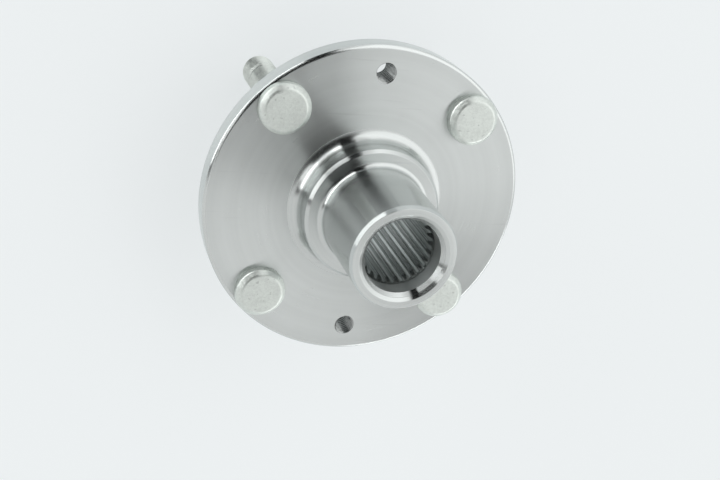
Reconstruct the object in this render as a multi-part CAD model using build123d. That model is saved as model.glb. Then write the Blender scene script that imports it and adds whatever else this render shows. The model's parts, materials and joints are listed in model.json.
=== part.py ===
# Front wheel hub: a forged and turned drive flange with a splined bearing spigot,
# four wheel studs pressed in from the bearing side and two threaded screw holes.
# Z runs along the hub axis towards the bearing end. The wheel seats on the plane z = 0.
import os
from math import acos, cos, pi, radians, sin, tan

from build123d import *

# Drive flange; its rim stands just clear of the stud heads and tapers in behind, to the wheel's seat
head_rim_distance = 0.6
flange_thickness = 12.5
flange_front_chamfer = 1.0
flange_taper_height = 4.4
flange_taper_width = 2.0

# Bearing shoulder, on the bearing side of the flange
shoulder_diameter = 50.4
shoulder_height = 11.0
shoulder_chamfer = 1.1
shoulder_fillet = 4.5

# Bearing journal
journal_diameter = 38.0
journal_length = 36.6
journal_root_chamfer = 1.5
journal_lead_length = 1.5
journal_lead_depth = 0.75

# Bore behind the journal's end face, with its two-band mouth
counterbore_clearance = 0.4
counterbore_depth = 8.7
mouth_width = 2.45
mouth_depth = 2.45
mouth_band_width = 1.2
mouth_band_depth = 0.95
mouth_step = 0.15

# Involute spline for the drive shaft
spline_teeth = 25
spline_module = 1.0
spline_pressure_angle = 30.0
spline_root_clearance = 0.1
spline_lead_angle = 63.0
spline_exit_chamfer = 1.3

# Disc pilot, wheel pilot and axle nut recess, on the wheel side
disc_pilot_diameter = 61.9
disc_pilot_height = 5.5
wheel_pilot_diameter = 54.0
wheel_pilot_height = 8.5
wheel_pilot_chamfer = 1.5
nut_recess_diameter = 41.0
nut_recess_depth = 10.0

# Stud and screw patterns
hole_circle_diameter = 100.0
stud_count = 4
stud_start_angle = 45.0
stud_hole_chamfer = 0.8
screw_count = 2
screw_start_angle = 90.0
screw_core_diameter = 6.8
screw_hole_chamfer = 0.4

# Wheel stud; its knurled shank stands proud of the thread and fills the stud hole
head_diameter = 18.8
head_side_height = 2.6
head_chamfer_height = 1.7
head_chamfer_width = 1.8
knurl_step = 0.5
knurl_lead_length = 1.5
thread_diameter = 12.0
stud_projection = 31.0
tip_chamfer = 1.0

# Levels along the axis
shoulder_level = flange_thickness + shoulder_height
end_level = shoulder_level + journal_length
counterbore_level = end_level - counterbore_depth
pilot_level = -disc_pilot_height - wheel_pilot_height
nut_seat_level = pilot_level + nut_recess_depth

# Radii that follow from the sizes above
flange_radius = hole_circle_diameter / 2 + head_diameter / 2 + head_rim_distance
knurl_radius = thread_diameter / 2 + knurl_step
spline_pitch_radius = spline_teeth * spline_module / 2
spline_tip_radius = spline_pitch_radius - spline_module / 2
spline_root_radius = spline_pitch_radius + spline_module / 2 + spline_root_clearance
counterbore_radius = spline_root_radius + counterbore_clearance
cut_overlap = 0.5


def revolved(points, corners=()):
    # A solid of revolution about Z from (radius, level) points.
    # Each corner is (radius, level, fillet size).
    face = make_face(Polyline(*points, close=True).edges())
    for radius, level, size in corners:
        corner = face.vertices().sort_by_distance((radius, level))[0]
        face = fillet(corner, size)
    return revolve(Plane.XZ * face, Axis.Z)


def ring_places(diameter, count, start_angle):
    # Locations on the flange, evenly spaced round the hub axis.
    return PolarLocations(diameter / 2, count, start_angle=start_angle)


def turned_body():
    # The turned outside of the hub and its stepped bore, down to the spline's tooth tips.
    shoulder_r = shoulder_diameter / 2
    journal_r = journal_diameter / 2
    pilot_r = wheel_pilot_diameter / 2
    disc_r = disc_pilot_diameter / 2
    recess_r = nut_recess_diameter / 2
    mouth_r = counterbore_radius + mouth_width
    band_r = mouth_r - mouth_band_width
    band_level = end_level - mouth_band_depth
    lead = (counterbore_radius - spline_tip_radius) * tan(radians(spline_lead_angle))
    points = [
        (spline_tip_radius, nut_seat_level + spline_exit_chamfer),
        (spline_tip_radius + spline_exit_chamfer, nut_seat_level),
        (recess_r, nut_seat_level),
        (recess_r, pilot_level),
        (pilot_r - wheel_pilot_chamfer, pilot_level),
        (pilot_r, pilot_level + wheel_pilot_chamfer),
        (pilot_r, -disc_pilot_height),
        (disc_r, -disc_pilot_height),
        (disc_r, 0),
        (flange_radius - flange_taper_width, 0),
        (flange_radius, flange_taper_height),
        (flange_radius, flange_thickness - flange_front_chamfer),
        (flange_radius - flange_front_chamfer, flange_thickness),
        (shoulder_r, flange_thickness),
        (shoulder_r, shoulder_level - shoulder_chamfer),
        (shoulder_r - shoulder_chamfer, shoulder_level),
        (journal_r + journal_root_chamfer, shoulder_level),
        (journal_r, shoulder_level + journal_root_chamfer),
        (journal_r, end_level - journal_lead_length),
        (journal_r - journal_lead_depth, end_level),
        (mouth_r, end_level),
        (band_r, band_level),
        (band_r, band_level - mouth_step),
        (counterbore_radius, end_level - mouth_depth),
        (counterbore_radius, counterbore_level),
        (spline_tip_radius, counterbore_level - lead),
    ]
    return revolved(points, [(shoulder_r, flange_thickness, shoulder_fillet)])


def involute(radius):
    # The involute angle at this radius, from the spline's base circle.
    base = spline_pitch_radius * cos(radians(spline_pressure_angle))
    angle = acos(base / radius)
    return tan(angle) - angle


def flank_point(radius, side):
    # A point on one flank of the tooth space that is centred on the X axis.
    half_space = pi / (2 * spline_teeth)
    angle = side * (half_space - involute(radius) + involute(spline_pitch_radius))
    return (radius * cos(angle), radius * sin(angle))


def spline_space():
    # One tooth space: two involute flanks between the tooth tips and the root circle.
    middle = (spline_tip_radius + spline_root_radius) / 2
    radii = (spline_tip_radius, middle, spline_root_radius)
    left = ThreePointArc(*[flank_point(r, 1) for r in radii])
    right = ThreePointArc(*[flank_point(r, -1) for r in radii])
    root = ThreePointArc(left @ 1, (spline_root_radius, 0), right @ 1)
    inside = Polyline(left @ 0, (spline_tip_radius - cut_overlap, 0), right @ 0)
    face = make_face([left, root, right] + inside.edges())
    length = counterbore_level - nut_seat_level
    return extrude(Plane.XY.offset(nut_seat_level) * face, amount=length)


def flange_hole(radius, back_chamfer, front_chamfer):
    # The space of a round hole through the flange, with a chamfer at each mouth.
    back_r = radius + back_chamfer
    front_r = radius + front_chamfer
    points = [
        (0, -cut_overlap),
        (back_r, -cut_overlap),
        (back_r, 0),
        (radius, back_chamfer),
        (radius, flange_thickness - front_chamfer),
        (front_r, flange_thickness),
        (front_r, flange_thickness + cut_overlap),
        (0, flange_thickness + cut_overlap),
    ]
    distinct = [p for i, p in enumerate(points) if p != points[i - 1]]
    return revolved(distinct)


def hub_flange():
    # The one-piece hub with its splines, stud holes and threaded screw holes.
    body = turned_body()
    space = spline_space()
    for turn in PolarLocations(0, spline_teeth):
        body -= turn * space
    stud_hole = flange_hole(knurl_radius, stud_hole_chamfer, 0)
    for place in ring_places(hole_circle_diameter, stud_count, stud_start_angle):
        body -= place * stud_hole
    screw_hole = flange_hole(screw_core_diameter / 2, screw_hole_chamfer, screw_hole_chamfer)
    for place in ring_places(hole_circle_diameter, screw_count, screw_start_angle):
        body -= place * screw_hole
    return body


def wheel_stud():
    # A stud on the hub axis: chamfered tip, threaded length, knurled shank with its lead, and head.
    thread_r = thread_diameter / 2
    head_r = head_diameter / 2
    head_edge_level = flange_thickness + head_side_height
    points = [
        (0, -stud_projection),
        (thread_r - tip_chamfer, -stud_projection),
        (thread_r, -stud_projection + tip_chamfer),
        (thread_r, 0),
        (knurl_radius, knurl_lead_length),
        (knurl_radius, flange_thickness),
        (head_r, flange_thickness),
        (head_r, head_edge_level),
        (head_r - head_chamfer_width, head_edge_level + head_chamfer_height),
        (0, head_edge_level + head_chamfer_height),
    ]
    return revolved(points)


def main():
    os.makedirs("parts", exist_ok=True)
    export_step(hub_flange(), "parts/hub_flange.step")
    stud = wheel_stud()
    places = ring_places(hole_circle_diameter, stud_count, stud_start_angle)
    for number, place in enumerate(places, start=1):
        export_step(place * stud, f"parts/wheel_stud_{number}.step")


main()
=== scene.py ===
import json
from math import acos, atan2, cos, pi, radians, sin, tan

import bmesh
import bpy
from mathutils import Matrix, Vector

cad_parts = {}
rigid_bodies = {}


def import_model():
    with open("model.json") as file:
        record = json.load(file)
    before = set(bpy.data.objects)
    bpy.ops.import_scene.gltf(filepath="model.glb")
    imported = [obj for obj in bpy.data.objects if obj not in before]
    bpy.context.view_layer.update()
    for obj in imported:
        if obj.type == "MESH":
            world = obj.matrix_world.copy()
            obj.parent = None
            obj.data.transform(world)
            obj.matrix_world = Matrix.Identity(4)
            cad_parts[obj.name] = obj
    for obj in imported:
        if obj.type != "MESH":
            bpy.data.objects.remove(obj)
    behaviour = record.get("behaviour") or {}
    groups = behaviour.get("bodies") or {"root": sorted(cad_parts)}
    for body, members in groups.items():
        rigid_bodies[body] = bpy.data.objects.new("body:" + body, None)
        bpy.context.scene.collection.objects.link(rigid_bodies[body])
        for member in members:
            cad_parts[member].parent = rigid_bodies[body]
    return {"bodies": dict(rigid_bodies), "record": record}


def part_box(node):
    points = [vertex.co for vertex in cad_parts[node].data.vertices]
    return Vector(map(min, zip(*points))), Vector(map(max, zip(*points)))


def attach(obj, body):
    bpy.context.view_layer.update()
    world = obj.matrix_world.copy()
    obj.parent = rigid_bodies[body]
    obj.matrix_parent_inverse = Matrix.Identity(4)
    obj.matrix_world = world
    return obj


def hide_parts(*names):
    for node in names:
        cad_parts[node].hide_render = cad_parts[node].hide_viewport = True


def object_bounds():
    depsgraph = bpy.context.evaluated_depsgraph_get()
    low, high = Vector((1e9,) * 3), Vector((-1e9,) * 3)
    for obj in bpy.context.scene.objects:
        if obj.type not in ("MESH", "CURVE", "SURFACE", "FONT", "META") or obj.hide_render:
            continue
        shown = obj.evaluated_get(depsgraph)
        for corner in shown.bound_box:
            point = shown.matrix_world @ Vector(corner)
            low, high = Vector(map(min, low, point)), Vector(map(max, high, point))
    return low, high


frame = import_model()
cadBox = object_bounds()
bodyName = next(iter(frame["bodies"]))
mounts = {m["name"]: m for m in frame["record"]["mounts"]}
perMetre = 1000  # pieces are modelled in millimetres and finished in metres
weldGap = {"turned": 0.0005, "finished": 0.0008}  # millimetres
smoothAngle = 38  # degrees; a sharper edge keeps its own shading
# Roundings smaller than these, in millimetres, take fewer segments.
rounding = {"fine": 0.2, "small": 1.0, "fineSegments": 2, "smallSegments": 4, "largeSegments": 14}


def mountSize(mountName, sizeName):
    return mounts[mountName]["dims"][sizeName]


def mountLevel(mountName):
    return mounts[mountName]["pos_m"][2] * perMetre


def nodeLevels(nodeName):
    low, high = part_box(nodeName)
    return low.z * perMetre, high.z * perMetre


hubLow, hubEnd = nodeLevels("hub_flange")
studTip = nodeLevels("wheel_stud_1")[0]


def roundedWire(bm, corners, closed):
    # Corners are (radius, level, round); each one is rounded by its own size.
    verts = [bm.verts.new((radius, 0, level)) for radius, level, _ in corners]
    pairs = list(zip(verts, verts[1:] + verts[:1]))
    for a, b in pairs if closed else pairs[:-1]:
        bm.edges.new((a, b))
    for size in sorted({c[2] for c in corners if c[2] > 0}):
        chosen = [v for v, c in zip(verts, corners) if c[2] == size]
        bmesh.ops.bevel(
            bm, geom=chosen, offset=size, offset_type="OFFSET", profile=0.5, material=-1,
            segments=roundSegments(size), affect="VERTICES", clamp_overlap=False,
        )


def roundSegments(size):
    if size < rounding["fine"]:
        return rounding["fineSegments"]
    return rounding["smallSegments"] if size < rounding["small"] else rounding["largeSegments"]


def turned(corners, steps, closed=True):
    # A solid of revolution about Z.
    bm = bmesh.new()
    roundedWire(bm, corners, closed)
    bmesh.ops.spin(
        bm, geom=bm.verts[:] + bm.edges[:], cent=(0, 0, 0), axis=(0, 0, 1), dvec=(0, 0, 0),
        angle=2 * pi, steps=steps, use_merge=True, use_duplicate=False,
    )
    bmesh.ops.remove_doubles(bm, verts=bm.verts[:], dist=weldGap["turned"])
    bmesh.ops.recalc_face_normals(bm, faces=bm.faces[:])
    return bm


def helix(corners, pitch, turns, stepsPerTurn, start):
    # A closed section swept along a screw line, with flat ends.
    bm = bmesh.new()
    verts = [bm.verts.new((radius, 0, start + level)) for radius, level in corners]
    edges = [bm.edges.new((a, b)) for a, b in zip(verts, verts[1:] + verts[:1])]
    bmesh.ops.spin(
        bm, geom=verts + edges, cent=(0, 0, 0), axis=(0, 0, 1), dvec=(0, 0, pitch / stepsPerTurn),
        angle=2 * pi * turns, steps=turns * stepsPerTurn, use_merge=False, use_duplicate=False,
    )
    bmesh.ops.holes_fill(bm, edges=[e for e in bm.edges if e.is_boundary], sides=0)
    bmesh.ops.recalc_face_normals(bm, faces=bm.faces[:])
    return bm


def prism(outline, low, high):
    # A flat outline of (x, y) points pushed up along Z.
    bm = bmesh.new()
    face = bm.faces.new([bm.verts.new((x, y, low)) for x, y in outline])
    pushed = bmesh.ops.extrude_face_region(bm, geom=[face], use_keep_orig=True)
    top = [g for g in pushed["geom"] if isinstance(g, bmesh.types.BMVert)]
    bmesh.ops.translate(bm, verts=top, vec=(0, 0, high - low))
    bmesh.ops.recalc_face_normals(bm, faces=bm.faces[:])
    return bm


def ringOf(bm, count):
    # Copies of the shape, evenly spaced round the Z axis.
    bmesh.ops.spin(
        bm, geom=bm.verts[:] + bm.edges[:] + bm.faces[:], cent=(0, 0, 0), axis=(0, 0, 1),
        dvec=(0, 0, 0), angle=2 * pi * (count - 1) / count, steps=count - 1, use_merge=False,
        use_duplicate=True,
    )
    return bm


def onCircle(bm, radius, degrees):
    # Moves a shape from the Z axis to its place on a bolt circle.
    bmesh.ops.translate(bm, verts=bm.verts[:], vec=(radius, 0, 0))
    turn = Matrix.Rotation(radians(degrees), 3, "Z")
    bmesh.ops.rotate(bm, verts=bm.verts[:], cent=(0, 0, 0), matrix=turn)
    return bm


def asObject(name, *shapes):
    # One object from one or more bmeshes, which are used up.
    mesh = bpy.data.meshes.new(name)
    joined = bmesh.new()
    for bm in shapes:
        part = bpy.data.meshes.new("part")
        bm.to_mesh(part)
        bm.free()
        joined.from_mesh(part)
        bpy.data.meshes.remove(part)
    joined.to_mesh(mesh)
    joined.free()
    obj = bpy.data.objects.new(name, mesh)
    bpy.context.scene.collection.objects.link(obj)
    return obj


def applied(obj):
    # Replaces the object's mesh with what its modifiers make of it.
    bpy.context.view_layer.update()
    seen = obj.evaluated_get(bpy.context.evaluated_depsgraph_get())
    old, mesh = obj.data, bpy.data.meshes.new_from_object(seen)
    obj.modifiers.clear()
    obj.data = mesh
    bpy.data.meshes.remove(old)


def carve(obj, *cutters):
    # Takes closed shapes away from a piece.
    tool = asObject("cutter", *cutters)
    cut = obj.modifiers.new("cut", "BOOLEAN")
    cut.operation, cut.solver, cut.object = "DIFFERENCE", "EXACT", tool
    applied(obj)
    bpy.data.objects.remove(tool)


def finishMesh(obj):
    # Cleans the mesh, brings it to metres and gives flat and round faces their own shading.
    bm = bmesh.new()
    bm.from_mesh(obj.data)
    bmesh.ops.remove_doubles(bm, verts=bm.verts[:], dist=weldGap["finished"])
    bmesh.ops.dissolve_degenerate(bm, edges=bm.edges[:], dist=weldGap["finished"])
    bmesh.ops.scale(bm, verts=bm.verts[:], vec=(1 / perMetre,) * 3)
    for face in bm.faces:
        face.smooth = True
    bm.to_mesh(obj.data)
    bm.free()
    obj.data.set_sharp_from_angle(angle=radians(smoothAngle))
    weighted = obj.modifiers.new("weighted", "WEIGHTED_NORMAL")
    weighted.mode, weighted.keep_sharp = "FACE_AREA", True
    applied(obj)


class Nodes:
    # Short names for building one material's nodes.
    def __init__(self, name):
        self.material = bpy.data.materials.new(name)
        self.material.use_nodes = True
        self.tree = self.material.node_tree
        self.shader = self.tree.nodes["Principled BSDF"]
        self.place = self.add("ShaderNodeTexCoord").outputs["Object"]

    def add(self, kind, inputs=None, **settings):
        node = self.tree.nodes.new(kind)
        for key, value in settings.items():
            setattr(node, key, value)
        for key, value in (inputs or {}).items():
            self.put(node.inputs[key], value)
        return node

    def put(self, socket, value):
        if isinstance(value, bpy.types.NodeSocket):
            self.tree.links.new(value, socket)
        else:
            socket.default_value = value

    def maths(self, operation, *values):
        return self.add("ShaderNodeMath", dict(enumerate(values)), operation=operation).outputs[0]

    def ramp(self, factor, low, high, fromLow=0.0, fromHigh=1.0):
        # A value spread smoothly from low to high.
        inputs = {"Value": factor, "From Min": fromLow, "From Max": fromHigh, "To Min": low, "To Max": high}
        return self.add("ShaderNodeMapRange", inputs, interpolation_type="SMOOTHSTEP").outputs[0]

    def mix(self, factor, a, b):
        node = self.add("ShaderNodeMix", {"Factor": factor}, data_type="RGBA")
        self.put(node.inputs["A"], a)
        self.put(node.inputs["B"], b)
        return node.outputs["Result"]

    def noise(self, vector, scale, detail, roughness=0.5):
        inputs = {"Vector": vector, "Scale": scale, "Detail": detail, "Roughness": roughness}
        return self.add("ShaderNodeTexNoise", inputs).outputs["Fac"]

    def surface(self, **values):
        for key, value in values.items():
            self.put(self.shader.inputs[key.replace("_", " ")], value)
        return self.material


def rgb(level, tint=(1.0, 1.0, 1.0)):
    return (level * tint[0], level * tint[1], level * tint[2], 1.0)


midRange = (0.3, 0.7)  # where most of a noise's values lie

steel = {
    "tint": (0.955, 1.0, 0.985),
    "greySpread": 0.03,
    "bandWidth": 9,  # in ring sizes
    "bandShare": 0.6,
    "cloudScale": 90.0,
    "roughSpread": (0.95, 1.06),
    "highlightTurn": 0.25,  # in whole turns
    "scratchTurn": 0.35,
    "scratchStretch": (0.04, 1.0, 1.0),
    "scratchScale": 700.0,
    "scratchRange": (0.66, 0.74),
    "scratchStrength": 0.16,
    "scratchGrey": 0.6,
}


def turnedSteel(name, grey, roughness, stretch, ringSize, ringDepth):
    # Bare steel with lathe marks that run round the Z axis, on flats and on barrels alike.
    n = Nodes(name)
    tint, spread, share = steel["tint"], steel["greySpread"], steel["bandShare"]
    parts = n.add("ShaderNodeSeparateXYZ", {"Vector": n.place})
    x, y, z = parts.outputs
    radius = n.maths("SQRT", n.maths("ADD", n.maths("MULTIPLY", x, x), n.maths("MULTIPLY", y, y)))
    profile = n.add("ShaderNodeCombineXYZ", {"X": radius, "Y": z, "Z": 0.0}).outputs[0]
    rings = n.noise(profile, perMetre / ringSize, detail=3.0, roughness=0.6)
    bands = n.noise(profile, perMetre / (ringSize * steel["bandWidth"]), detail=2.0)
    cloud = n.noise(n.place, steel["cloudScale"], detail=3.0)
    around = n.add("ShaderNodeVectorMath", {0: (0.0, 0.0, 1.0), 1: n.place}, operation="CROSS_PRODUCT")
    tangent = n.add("ShaderNodeVectorMath", {0: around.outputs[0]}, operation="NORMALIZE").outputs[0]
    tone = n.maths("ADD", n.maths("MULTIPLY", bands, share), n.maths("MULTIPLY", cloud, 1 - share))
    darker, paler = rgb(grey * (1 - spread), tint), rgb(grey * (1 + spread), tint)
    colour = n.mix(n.ramp(tone, 0.0, 1.0, *midRange), darker, paler)
    turn = (0.0, 0.0, steel["scratchTurn"])
    drawn = {"Vector": n.place, "Rotation": turn, "Scale": steel["scratchStretch"]}
    along = n.add("ShaderNodeMapping", drawn).outputs[0]
    scratchNoise = n.noise(along, steel["scratchScale"], detail=4.0)
    scratches = n.ramp(scratchNoise, 0.0, steel["scratchStrength"], *steel["scratchRange"])
    colour = n.mix(scratches, colour, rgb(grey * steel["scratchGrey"], tint))
    ringRough, cloudRough = [n.ramp(fac, *steel["roughSpread"], *midRange) for fac in (rings, cloud)]
    rough = n.maths("MULTIPLY", ringRough, cloudRough)
    bump = n.add("ShaderNodeBump", {"Strength": 1.0, "Distance": ringDepth / perMetre, "Height": rings})
    return n.surface(
        Base_Color=colour, Metallic=1.0, Roughness=n.maths("MULTIPLY", rough, roughness),
        Anisotropic=stretch, Anisotropic_Rotation=steel["highlightTurn"], Tangent=tangent,
        Normal=bump.outputs[0],
    )


broach = {
    "stretch": 0.04,
    "scale": 5200.0,
    "depth": 0.00001,
    "tipBand": 0.1,
    "markGrey": 0.15,
    "markStrength": 0.25,
    "roughness": (0.26, 0.36),
}


def broachedSteel(name, landGrey, rootHighlightGrey):
    # The splines, with marks that run along the axis; the lands have one grey and the roots another, and a
    # paler root grey is a painted highlight along the roots.
    n = Nodes(name)
    _, tipR, rootR = splineRadii()
    tint = steel["tint"]
    stretched = n.add("ShaderNodeMapping", {"Vector": n.place, "Scale": (1.0, 1.0, broach["stretch"])})
    marks = n.noise(stretched.outputs[0], broach["scale"], detail=3.0)
    bump = n.add("ShaderNodeBump", {"Strength": 1.0, "Distance": broach["depth"], "Height": marks})
    flat = n.add("ShaderNodeMapping", {"Vector": n.place, "Scale": (1.0, 1.0, 0.0)}).outputs[0]
    radius = n.add("ShaderNodeVectorMath", {0: flat}, operation="LENGTH").outputs["Value"]
    landEnd, rootStart = (tipR + broach["tipBand"]) / perMetre, (tipR + rootR) / 2 / perMetre
    depth = n.ramp(radius, 0.0, 1.0, landEnd, rootStart)
    colour = n.mix(depth, rgb(landGrey, tint), rgb(rootHighlightGrey, tint))
    streaks = n.ramp(marks, 0.0, broach["markStrength"], *midRange)
    colour = n.mix(streaks, colour, rgb(broach["markGrey"], tint))
    rough = n.ramp(marks, *broach["roughness"], *midRange)
    return n.surface(Base_Color=colour, Metallic=1.0, Roughness=rough, Normal=bump.outputs[0])


zinc = {
    "tint": (0.94, 1.0, 0.95),
    "pale": 0.765,
    "dull": 0.66,
    "dark": 0.38,
    "metallic": 0.75,
    "roughness": (0.3, 0.44),
    "mottleScale": 900.0,
    "mottleShare": 0.7,
    "mottleRange": (0.36, 0.62),
    "patchScale": 260.0,
    "speckScale": 2900.0,
    "speckRange": (0.58, 0.72),
    "scuffScale": 640.0,
    "scuffRange": (0.68, 0.74),
    "darkening": 0.5,
    "bumpShare": 0.6,
    "bumpDepth": 0.00004,
}


def zincPlate(name, tone):
    # Dull zinc on the studs, finely speckled and scuffed from handling.
    n = Nodes(name)
    mottle = n.noise(n.place, zinc["mottleScale"], detail=5.0, roughness=0.7)
    specks = n.noise(n.place, zinc["speckScale"], detail=3.0, roughness=0.7)
    patches = n.noise(n.place, zinc["patchScale"], detail=2.0)
    scuffs = n.noise(n.place, zinc["scuffScale"], detail=1.0)
    pale, dull, dark = [rgb(zinc[shade] * tone, zinc["tint"]) for shade in ("pale", "dull", "dark")]
    share = zinc["mottleShare"]
    both = n.maths("ADD", n.maths("MULTIPLY", mottle, share), n.maths("MULTIPLY", patches, 1 - share))
    colour = n.mix(n.ramp(both, 0.0, 1.0, *zinc["mottleRange"]), dull, pale)
    colour = n.mix(n.ramp(specks, 0.0, zinc["darkening"], *zinc["speckRange"]), colour, dark)
    colour = n.mix(n.ramp(scuffs, 0.0, zinc["darkening"], *zinc["scuffRange"]), colour, dark)
    share = zinc["bumpShare"]
    height = n.maths("ADD", n.maths("MULTIPLY", mottle, share), n.maths("MULTIPLY", specks, 1 - share))
    bump = n.add("ShaderNodeBump", {"Strength": 1.0, "Distance": zinc["bumpDepth"], "Height": height})
    rough = n.ramp(mottle, *zinc["roughness"], *midRange)
    return n.surface(
        Base_Color=colour, Metallic=zinc["metallic"], Roughness=rough, Normal=bump.outputs[0],
    )


# Sizes in millimetres and angles in degrees, here and for the studs.
hub = {
    "steps": 240,
    "edge": 0.08,
    "softEdge": 0.3,
    "flangeRadius": 60.0,
    "flangeThickness": 12.5,
    "frontChamfer": 0.8,
    "frontEdge": 0.65,
    "taperHeight": 4.4,
    "taperWidth": 2.0,
    "shoulderRadius": 25.2,
    "shoulderChamfer": 1.1,
    "shoulderFillet": 4.5,
    "journalFillet": 2.0,
    "leadLength": 1.5,
    "leadDepth": 0.75,
    "leadRound": 0.15,
    "boreDepth": 8.7,
    "mouthWidth": 2.45,
    "mouthDepth": 2.45,
    "bandWidth": 1.2,
    "bandDepth": 0.95,
    "bandStep": 0.15,
    "discPilotHeight": 5.5,
    "pilotChamfer": 1.5,
    "recessRadius": 20.5,
    "recessRound": 0.5,
    "exitChamfer": 1.3,
    "leadAngle": 63.0,
}

spline = {
    "teeth": 25,
    "module": 1.0,
    "pressureAngle": 30.0,
    "rootClearance": 0.1,
    "tipRound": 0.16,
    "flankPoints": 6,
    "cornerPoints": 4,
    "overlap": 0.01,
    "cutInward": 0.6,  # how far the cutting prisms reach past the teeth
    "cutOutward": 0.5,
}


def splineRadii():
    pitch = spline["teeth"] * spline["module"] / 2
    return pitch, pitch - spline["module"] / 2, pitch + spline["module"] / 2 + spline["rootClearance"]


def turnedHub():
    low, end = hubLow, hubEnd
    edge, softEdge = hub["edge"], hub["softEdge"]
    flangeR, top = hub["flangeRadius"], hub["flangeThickness"]
    shoulderR, journalR = hub["shoulderRadius"], mountSize("bearing_journal", "r_mm")
    boreR, pilotR = mountSize("shaft_pilot_bore", "r_mm"), mountSize("wheel_pilot", "r_mm")
    discR, discLow = mountSize("disc_pilot", "r_mm"), -hub["discPilotHeight"]
    seat, nutSeat = mountLevel("bearing_shoulder"), mountLevel("axle_nut_seat")
    recessR = hub["recessRadius"]
    tipR = splineRadii()[1]
    mouthR = boreR + hub["mouthWidth"]
    bandR, bandLevel = mouthR - hub["bandWidth"], end - hub["bandDepth"]
    boreLow = end - hub["boreDepth"]
    lead = (boreR - tipR) * tan(radians(hub["leadAngle"]))
    corners = [
        (tipR, nutSeat + hub["exitChamfer"], 0),
        (tipR + hub["exitChamfer"], nutSeat, 0),
        (recessR, nutSeat, hub["recessRound"]),
        (recessR, low, edge),
        (pilotR - hub["pilotChamfer"], low, edge),
        (pilotR, low + hub["pilotChamfer"], edge),
        (pilotR, discLow, softEdge),
        (discR, discLow, softEdge),
        (discR, 0, softEdge),
        (flangeR - hub["taperWidth"], 0, edge),
        (flangeR, hub["taperHeight"], edge),
        (flangeR, top - hub["frontChamfer"], edge),
        (flangeR - hub["frontChamfer"], top, hub["frontEdge"]),
        (shoulderR, top, hub["shoulderFillet"]),
        (shoulderR, seat - hub["shoulderChamfer"], edge),
        (shoulderR - hub["shoulderChamfer"], seat, edge),
        (journalR, seat, hub["journalFillet"]),
        (journalR, end - hub["leadLength"], hub["leadRound"]),
        (journalR - hub["leadDepth"], end, edge),
        (mouthR, end, edge),
        (bandR, bandLevel, 0),
        (bandR, bandLevel - hub["bandStep"], 0),
        (boreR, end - hub["mouthDepth"], edge),
        (boreR, boreLow, softEdge),
        (tipR, boreLow - lead, 0),
    ]
    return turned(corners, hub["steps"])


def flankPoint(radius, side):
    # A point on one flank of the tooth space that is centred on the X axis.
    pitch = splineRadii()[0]
    base = pitch * cos(radians(spline["pressureAngle"]))
    roll = [tan(acos(base / r)) - acos(base / r) for r in (radius, pitch)]
    angle = side * (pi / (2 * spline["teeth"]) - roll[0] + roll[1])
    return radius * cos(angle), radius * sin(angle)


def spaceEdge(side):
    # One edge of a tooth space, from the worn corner at the tooth's tip to the root.
    _, tipR, rootR = splineRadii()
    soft, count = spline["tipRound"], spline["flankPoints"]
    flank = [flankPoint(tipR + soft + (rootR - tipR - soft) * i / (count - 1), side) for i in range(count)]
    corner, landR = flankPoint(tipR, side), tipR - spline["overlap"]
    landAngle = atan2(corner[1], corner[0]) + side * soft / tipR
    land = (landR * cos(landAngle), landR * sin(landAngle))
    rounding = []
    for i in range(spline["cornerPoints"]):
        t = i / spline["cornerPoints"]
        pull = ((1 - t) ** 2, 2 * t * (1 - t), t * t)
        rounding.append(tuple(sum(p * v for p, v in zip(pull, axis)) for axis in zip(land, corner, flank[0])))
    return rounding + flank


def splineSpaces():
    # All the spaces between the spline's teeth, as separate closed prisms.
    _, tipR, rootR = splineRadii()
    left, right = spaceEdge(1), spaceEdge(-1)
    inner, root = tipR - spline["cutInward"], rootR + spline["overlap"]
    outline = left + [(root, 0)] + right[::-1] + [(inner, right[0][1]), (inner, left[0][1])]
    low, high = mountLevel("axle_nut_seat") - spline["cutOutward"], hubEnd - hub["boreDepth"]
    return ringOf(prism(outline, low, high), spline["teeth"])


hole = {"studChamfer": 0.8, "screwChamfer": 0.4, "steps": 64, "beyond": 0.5}
screwThread = {
    "outerRadius": 4.0,
    "pitch": 1.25,
    "steps": 48,
    "overlap": 0.2,
    "mouthHalf": 3 / 8,  # in pitches, as the next two are
    "rootHalf": 1 / 16,
    "leadIn": 1.5,
    "spareTurns": 3,
}


def flangeHole(radius, backChamfer, frontChamfer):
    top, beyond = hub["flangeThickness"], hole["beyond"]
    mouthR = radius + frontChamfer + beyond if frontChamfer else radius
    corners = [
        (0, -beyond, 0),
        (radius + backChamfer + beyond, -beyond, 0),
        (radius, backChamfer, 0),
        (radius, top - frontChamfer, 0),
        (mouthR, top + beyond, 0),
        (0, top + beyond, 0),
    ]
    return turned(corners, hole["steps"], closed=False)


def screwGroove():
    # The screw thread's groove in the wall of a threaded hole.
    coreR, outerR = mountSize("disc_screw_holes", "hole_r_mm"), screwThread["outerRadius"]
    insideR, pitch = coreR - screwThread["overlap"], screwThread["pitch"]
    wide, narrow = pitch * screwThread["mouthHalf"], pitch * screwThread["rootHalf"]
    upper = [(outerR, narrow), (coreR, wide), (insideR, wide)]
    lower = [(radius, -level) for radius, level in reversed(upper)]
    turns = int(hub["flangeThickness"] / pitch) + screwThread["spareTurns"]
    return helix(lower + upper, pitch, turns, screwThread["steps"], -screwThread["leadIn"] * pitch)


studPlaces = [45, 135, 225, 315]  # degrees round the circle
screwPlaces = [90, 270]

# How far, in millimetres, the middle of a face may lie from the form that gives it its finish.
reach = {
    "screwHole": 0.1,
    "face": 0.01,
    "bore": 0.05,
    "journal": 0.1,
    "journalWall": 1.0,
    "rim": 0.05,
    "edge": 0.4,
    "shoulder": 0.02,
}
uprightLimit = 0.5  # a face is upright where its normal leans less than this along Z
glintLean = (0.55, 0.98)  # how squarely a rounded tooth corner with the painted glint faces the axis


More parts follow.
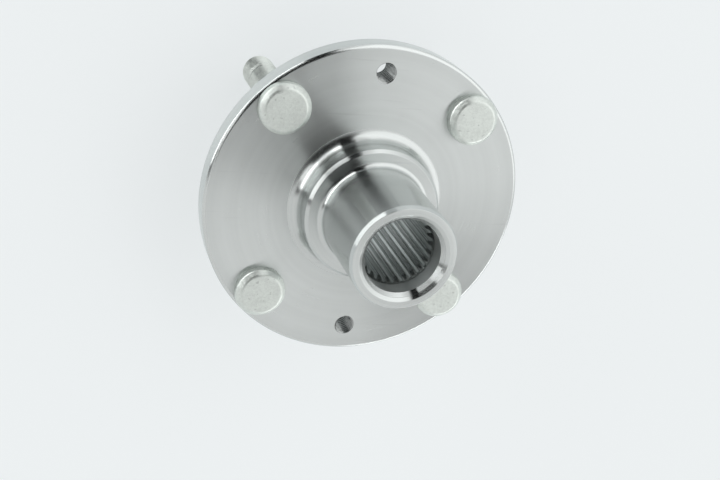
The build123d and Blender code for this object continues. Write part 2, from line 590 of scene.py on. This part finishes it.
def hubMaterialSlot(centre, normal):
    # Which of the hub's finishes a face has, by where it is and which way it faces.
    radius, level = centre.xy.length * perMetre, centre.z * perMetre
    upright = abs(normal.z) < uprightLimit
    flangeR, top, endOfSpline = hub["flangeRadius"], hub["flangeThickness"], hubEnd - hub["boreDepth"]
    screwR = screwThread["outerRadius"] + reach["screwHole"]
    circleR = mountSize("disc_screw_holes", "pcd_mm") / 2
    # Faces in the threaded holes take a darker steel, painted shade inside the holes.
    for degrees in screwPlaces:
        axis = Vector((circleR * cos(radians(degrees)), circleR * sin(radians(degrees))))
        if (centre.xy * perMetre - axis).length < screwR and 0 < level < top - reach["face"]:
            return "threadShadeSteel"
    if radius < mountSize("shaft_pilot_bore", "r_mm") + reach["bore"] and level > mountLevel("axle_nut_seat"):
        if level > endOfSpline - reach["bore"]:
            return "boreSteel"
        inward = -normal.xy.dot(centre.xy.normalized())
        # Rounded tooth corners that face the axis get near-white steel, a painted glint along the corners.
        onCorner = radius < splineRadii()[1] + spline["tipRound"] and glintLean[0] < inward < glintLean[1]
        return "toothGlintSteel" if onCorner else "broachedSteel"
    onJournal = radius > mountSize("bearing_journal", "r_mm") - reach["journalWall"]
    if level > mountLevel("bearing_shoulder") - reach["journal"] and upright and onJournal:
        return "groundSteel"
    if radius > flangeR - reach["rim"] and upright:
        return "rimSteel"
    if radius > flangeR - hub["frontChamfer"] - reach["edge"] and level > top / 2:
        return "edgeSteel"
    if level > top + reach["shoulder"] and radius < hub["shoulderRadius"] + hub["shoulderFillet"]:
        return "shoulderSteel"
    return "turnedSteel"


# The greys are 0 to 1, the stretch is that of the highlight, and the rings are in millimetres.
latheFinishes = {
    "turnedSteel": {"grey": 0.62, "roughness": 0.30, "stretch": 1.0, "ringSize": 0.3, "ringDepth": 0.0001},
    "shoulderSteel": {"grey": 0.62, "roughness": 0.2, "stretch": 1.0, "ringSize": 0.2, "ringDepth": 0.0002},
    "groundSteel": {"grey": 0.60, "roughness": 0.21, "stretch": 1.0, "ringSize": 0.15, "ringDepth": 0.0002},
    "rimSteel": {"grey": 0.72, "roughness": 0.3, "stretch": 0.9, "ringSize": 0.25, "ringDepth": 0.0003},
    "edgeSteel": {"grey": 0.66, "roughness": 0.2, "stretch": 0.9, "ringSize": 0.25, "ringDepth": 0.0002},
    "boreSteel": {"grey": 0.58, "roughness": 0.34, "stretch": 0.9, "ringSize": 0.3, "ringDepth": 0.001},
    # darker grey here is painted shade inside the threaded holes
    "threadShadeSteel": {"grey": 0.38, "roughness": 0.26, "stretch": 0.0, "ringSize": 0.3, "ringDepth": 0.0005},
}
splineFinishes = {
    # the paler root grey is a painted highlight along the roots
    "broachedSteel": {"landGrey": 0.26, "rootHighlightGrey": 0.62},
    # near white all over: a painted glint on the tooth corners
    "toothGlintSteel": {"landGrey": 0.95, "rootHighlightGrey": 0.95},
}


def makeHub():
    piece = asObject("hubForging", turnedHub())
    circleR = mountSize("wheel_studs", "pcd_mm") / 2
    knurlR = mountSize("wheel_studs", "stud_r_mm") + stud["knurlStep"]
    coreR = mountSize("disc_screw_holes", "hole_r_mm")
    studHoles = [onCircle(flangeHole(knurlR, hole["studChamfer"], 0), circleR, a) for a in studPlaces]
    screwHoles = [onCircle(flangeHole(coreR, hole["screwChamfer"], hole["screwChamfer"]), circleR, a)
                  for a in screwPlaces]
    carve(piece, splineSpaces(), *studHoles, *screwHoles)
    carve(piece, *[onCircle(screwGroove(), circleR, a) for a in screwPlaces])
    finishMesh(piece)
    finishes = {name: turnedSteel(name, **values) for name, values in latheFinishes.items()}
    finishes |= {name: broachedSteel(name, **values) for name, values in splineFinishes.items()}
    piece.data.materials.clear()
    for material in finishes.values():
        piece.data.materials.append(material)
    order = list(finishes)
    for face in piece.data.polygons:
        face.material_index = order.index(hubMaterialSlot(face.center, face.normal))
    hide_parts("hub_flange")
    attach(piece, bodyName)
    print("hub made:", len(piece.data.polygons), "faces")


stud = {
    "steps": 96,
    "headRadius": 9.4,
    "headSide": 2.6,
    "chamferHeight": 1.7,
    "chamferWidth": 1.8,
    "knurlStep": 0.5,
    "knurlDepth": 0.25,
    "knurlLead": 1.5,
    "knurlTeeth": 24,
    "knurlWidth": 0.75,
    "knurlRise": 0.05,
    "pitch": 1.5,
    "threadDepth": 0.82,
    "mouthHalf": 7 / 16,  # in pitches, as the next one is
    "rootHalf": 1 / 9,
    "threadSteps": 48,
    "tipChamfer": 1.0,
    "tipRound": 0.25,
    "edge": 0.1,
    "headFootRound": 0.3,
    "headEdgeRound": 0.45,
    "headTopRound": 0.6,
    "grooveLevel": -19.5,
    "grooveWidth": 1.5,
    "grooveFlare": 0.4,
    "grooveStep": 0.1,
    "runOut": 2.0,
    "fit": 0.02,
    "headGap": 0.01,
    "beyond": 0.6,  # how far the cutting shapes reach outside
    "turnBetween": 100,  # degrees, so that no two threads look alike
    "plateTone": 1.0,
    # tone of the darker zinc in the groove, a painted shade
    "grooveShadeTone": 0.3,
}


def studBlank():
    threadR, headR, edge = mountSize("wheel_studs", "stud_r_mm"), stud["headRadius"], stud["edge"]
    knurlR = threadR + stud["knurlStep"] - stud["fit"]
    tip, top, grooveR = studTip, hub["flangeThickness"], threadR - stud["threadDepth"]
    flare, step = stud["grooveFlare"], stud["grooveStep"]
    grooveLow = stud["grooveLevel"] - stud["grooveWidth"] / 2
    grooveHigh = stud["grooveLevel"] + stud["grooveWidth"] / 2
    headFoot, headEdge = top + stud["headGap"], top + stud["headSide"]
    corners = [
        (0, tip, 0),
        (threadR - stud["tipChamfer"], tip, stud["tipRound"]),
        (threadR, tip + stud["tipChamfer"], edge),
        (threadR, grooveLow - flare, edge),
        (grooveR, grooveLow + step, edge),
        (grooveR, grooveHigh - step, edge),
        (threadR, grooveHigh + flare, edge),
        (threadR, 0, edge),
        (knurlR, stud["knurlLead"], edge),
        (knurlR, headFoot, 0),
        (headR, headFoot, stud["headFootRound"]),
        (headR, headEdge, stud["headEdgeRound"]),
        (headR - stud["chamferWidth"], headEdge + stud["chamferHeight"], stud["headTopRound"]),
        (0, headEdge + stud["chamferHeight"], 0),
    ]
    return turned(corners, stud["steps"], closed=False)


def studGroove():
    # The thread's groove, which runs out before the wheel face.
    threadR, pitch, tip = mountSize("wheel_studs", "stud_r_mm"), stud["pitch"], studTip
    rootR, outR = threadR - stud["threadDepth"], threadR + stud["beyond"]
    wide, narrow = pitch * stud["mouthHalf"], pitch * stud["rootHalf"]
    upper = [(outR, wide), (threadR, wide), (rootR, narrow)]
    lower = [(radius, -level) for radius, level in reversed(upper)]
    turns = int(-tip / pitch) + 1
    bm = helix(lower + upper, pitch, turns, stud["threadSteps"], tip - pitch)
    runOutStart = -stud["runOut"] - pitch
    for v in bm.verts:
        past = v.co.z - runOutStart
        if past > 0:
            v.co.xy *= 1 + past / stud["runOut"] * stud["threadDepth"] / threadR
    return bm


def knurlGrooves():
    knurlR = mountSize("wheel_studs", "stud_r_mm") + stud["knurlStep"] - stud["fit"]
    teeth, riseR, outR = stud["knurlTeeth"], knurlR + stud["knurlRise"], knurlR + stud["beyond"]
    half = knurlR * pi / teeth * stud["knurlWidth"]
    outline = [(knurlR - stud["knurlDepth"], 0), (riseR, half), (outR, half), (outR, -half), (riseR, -half)]
    return ringOf(prism(outline, 0, hub["flangeThickness"]), teeth)


def makeStuds():
    master = asObject("studMaster", studBlank())
    carve(master, studGroove())
    carve(master, knurlGrooves())
    finishMesh(master)
    master.data.materials.clear()
    master.data.materials.append(zincPlate("zincPlate", stud["plateTone"]))
    master.data.materials.append(zincPlate("grooveShadeZinc", stud["grooveShadeTone"]))
    # The groove's inner faces get the darker zinc, painted shade where the groove's walls keep the light out.
    grooveR = (mountSize("wheel_studs", "stud_r_mm") - stud["grooveStep"]) / perMetre
    for face in master.data.polygons:
        level = face.center.z * perMetre
        inGroove = abs(level - stud["grooveLevel"]) < stud["grooveWidth"] / 2
        face.material_index = int(inGroove and face.center.xy.length < grooveR)
    circleR = mountSize("wheel_studs", "pcd_mm") / 2 / perMetre
    for number, degrees in enumerate(studPlaces, start=1):
        turn = Matrix.Rotation(radians(degrees), 4, "Z")
        shift = Matrix.Translation((circleR, 0, 0))
        ownTurn = Matrix.Rotation(radians(stud["turnBetween"] * number), 4, "Z")
        mesh = master.data.copy()
        mesh.transform(turn @ shift @ ownTurn)
        piece = bpy.data.objects.new(f"wheelStud{number}", mesh)
        bpy.context.scene.collection.objects.link(piece)
        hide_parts(f"wheel_stud_{number}")
        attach(piece, bodyName)
    print("studs made:", len(master.data.polygons), "faces each")
    bpy.data.objects.remove(master)


paper = {
    "halfWidth": 3.0,  # metres, as the gap is
    "gap": 0.0002,
    "colour": (0.823, 0.855, 0.863, 1.0),
    "roughness": 0.9,
    "specular": 0.1,
    "glow": 1.1,
    "shadow": 0.3,
}


def makeFloor():
    level = cadBox[0].z
    bm = bmesh.new()
    bmesh.ops.create_grid(bm, x_segments=1, y_segments=1, size=paper["halfWidth"])
    bmesh.ops.translate(bm, verts=bm.verts[:], vec=(0, 0, level - paper["gap"]))
    floor = asObject("floor", bm)
    n = Nodes("floorPaper")
    n.surface(
        Base_Color=paper["colour"], Roughness=paper["roughness"], Specular_IOR_Level=paper["specular"],
    )
    glow = n.add("ShaderNodeEmission", {"Color": paper["colour"], "Strength": paper["glow"]})
    path = n.add("ShaderNodeLightPath")
    rays = n.maths("ADD", path.outputs["Is Camera Ray"], path.outputs["Is Glossy Ray"])
    rays = n.maths("MAXIMUM", rays, path.outputs["Is Transmission Ray"])
    seen = n.maths("MULTIPLY", rays, 1 - paper["shadow"])
    both = n.add("ShaderNodeMixShader", {0: seen, 1: n.shader.outputs[0], 2: glow.outputs[0]})
    # Seen from below the floor is clear, so the wheel side can be looked at.
    backside = n.add("ShaderNodeNewGeometry").outputs["Backfacing"]
    below = n.maths("MULTIPLY", backside, path.outputs["Is Camera Ray"])
    clear = n.add("ShaderNodeBsdfTransparent")
    both = n.add("ShaderNodeMixShader", {0: below, 1: both.outputs[0], 2: clear.outputs[0]})
    n.tree.links.new(both.outputs[0], n.tree.nodes["Material Output"].inputs["Surface"])
    floor.data.materials.append(n.material)
    print("floor made at", round(level * perMetre, 1), "mm")


# The tent's level and its panels were fitted by a separate program, then rounded. Angles are in degrees,
# a brightness of 1 is white, and a later panel covers an earlier one.
studio = {
    "tent": 0.85,
    "panels": {
        "leftShade": dict(azimuth=164, elevation=30, halfWidth=22, halfHeight=14, soft=8, brightness=0.1),
        "lowLeftBox": dict(azimuth=146, elevation=7, halfWidth=35.5, halfHeight=12, soft=3, brightness=3.7),
        "rightBox": dict(azimuth=33, elevation=42, halfWidth=41, halfHeight=21, soft=8, brightness=1.45),
        "lowRightBox": dict(azimuth=312, elevation=4, halfWidth=19, halfHeight=10, soft=6, brightness=2.7),
        "leftGlint": dict(azimuth=166, elevation=48, halfWidth=7.5, halfHeight=10, soft=6, brightness=1.5),
        "cameraGap": dict(azimuth=124, elevation=47, halfWidth=20.5, halfHeight=23.5, soft=4, brightness=0.0),
        "overheadGap": dict(azimuth=148, elevation=78, halfWidth=16, halfHeight=13.5, soft=6, brightness=0.0),
        "lowGap": dict(azimuth=105, elevation=8, halfWidth=8, halfHeight=16, soft=2, brightness=0.0),
    },
}


def direction(azimuth, elevation):
    a, e = radians(azimuth), radians(elevation)
    return Vector((cos(a) * cos(e), sin(a) * cos(e), sin(e)))


def makeWorld():
    # A pale tent with bright boxes, shades and a dark gap where the camera stands.
    world = bpy.data.worlds.new("tent")
    bpy.context.scene.world = world
    world.use_nodes = True
    tree = world.node_tree

    def node(kind, inputs, **settings):
        made = tree.nodes.new(kind)
        for key, value in settings.items():
            setattr(made, key, value)
        for key, value in inputs.items():
            if isinstance(value, bpy.types.NodeSocket):
                tree.links.new(value, made.inputs[key])
            else:
                made.inputs[key].default_value = value
        return made.outputs

    way = node("ShaderNodeTexCoord", {})["Generated"]

    def within(axis, limit, soft):
        # 1 where the direction lies within limit degrees of the plane across this axis.
        along = node("ShaderNodeVectorMath", {0: way, 1: axis}, operation="DOT_PRODUCT")["Value"]
        size = node("ShaderNodeMath", {0: along}, operation="ABSOLUTE")[0]
        edges = {"Value": size, "From Min": sin(radians(limit + soft)), "From Max": sin(radians(limit))}
        return node("ShaderNodeMapRange", edges, interpolation_type="SMOOTHSTEP")[0]

    tent = rgb(studio["tent"])
    for panel in studio["panels"].values():
        centre = direction(panel["azimuth"], panel["elevation"])
        side = direction(panel["azimuth"] + 90, 0)
        ahead = node("ShaderNodeVectorMath", {0: way, 1: centre}, operation="DOT_PRODUCT")["Value"]
        front = node("ShaderNodeMath", {0: ahead, 1: 0.0}, operation="GREATER_THAN")[0]
        wide = within(side, panel["halfWidth"], panel["soft"])
        high = within(centre.cross(side), panel["halfHeight"], panel["soft"])
        both = node("ShaderNodeMath", {0: wide, 1: high}, operation="MULTIPLY")[0]
        mask = node("ShaderNodeMath", {0: both, 1: front}, operation="MULTIPLY")[0]
        colours = {"Factor": mask, "A": tent, "B": rgb(panel["brightness"])}
        tent = node("ShaderNodeMix", colours, data_type="RGBA")["Result"]
    camera = node("ShaderNodeLightPath", {})["Is Camera Ray"]
    seen = node("ShaderNodeMix", {"Factor": camera, "A": tent, "B": paper["colour"]}, data_type="RGBA")
    tree.links.new(seen["Result"], tree.nodes["Background"].inputs["Color"])
    print("tent made:", len(studio["panels"]), "panels")


# The camera was fitted by a separate program too. Metres, directions as vectors, and the lens in millimetres.
view = {
    "place": (-0.1441, 0.1585, 0.4043),
    "forward": (0.3201, -0.3824, -0.8668),
    "up": (-0.0260, 0.9110, -0.4115),
    "lens": 60.77,
    "sensorWidth": 36.0,
    "clip": (0.01, 20.0),
}


def makeCamera():
    camera = bpy.data.cameras.new("camera")
    camera.lens, camera.sensor_width, camera.sensor_fit = view["lens"], view["sensorWidth"], "HORIZONTAL"
    camera.clip_start, camera.clip_end = view["clip"]
    eye = bpy.data.objects.new("camera", camera)
    bpy.context.scene.collection.objects.link(eye)
    back = -Vector(view["forward"]).normalized()
    right = Vector(view["up"]).cross(back).normalized()
    up = back.cross(right)
    eye.matrix_world = Matrix.Translation(view["place"]) @ Matrix((right, up, back)).transposed().to_4x4()
    bpy.context.scene.camera = eye
    print("camera made:", view["lens"], "mm lens")


bpy.context.scene.view_settings.view_transform = "Standard"
makeHub()
makeStuds()
makeFloor()
makeWorld()
makeCamera()
